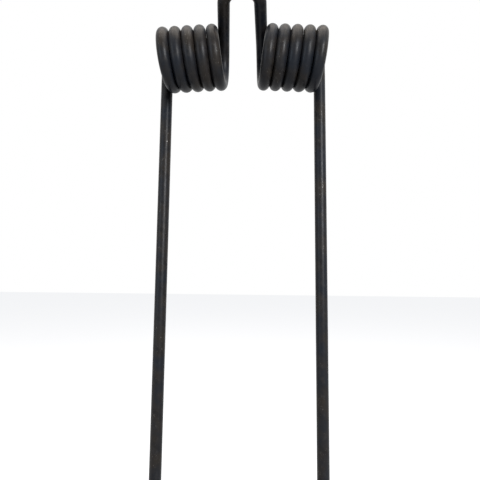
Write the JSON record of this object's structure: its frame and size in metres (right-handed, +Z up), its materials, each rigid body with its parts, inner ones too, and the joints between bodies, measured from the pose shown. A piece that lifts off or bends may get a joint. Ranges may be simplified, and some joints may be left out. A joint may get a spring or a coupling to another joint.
{
  "type": "spring tine",
  "caption": "Double spring tine: straight legs hang from close-wound coils, joined by a forward-leaning bridge for a clamp.",
  "frame": {"origin": "middle of the bridge's cross bar, on the wire's centre line", "axes": "+X across the tine from leg to leg, +Z up along the legs towards the bridge, -Y the side the bridge leans to"},
  "size_m": [0.1744, 0.0728, 0.5006],
  "materials": {
    "spring_steel": "satin dark oxide on spring-steel wire"
  },
  "bodies": {
    "root": {"spring_tine": "spring_steel"}
  },
  "joints": []
}
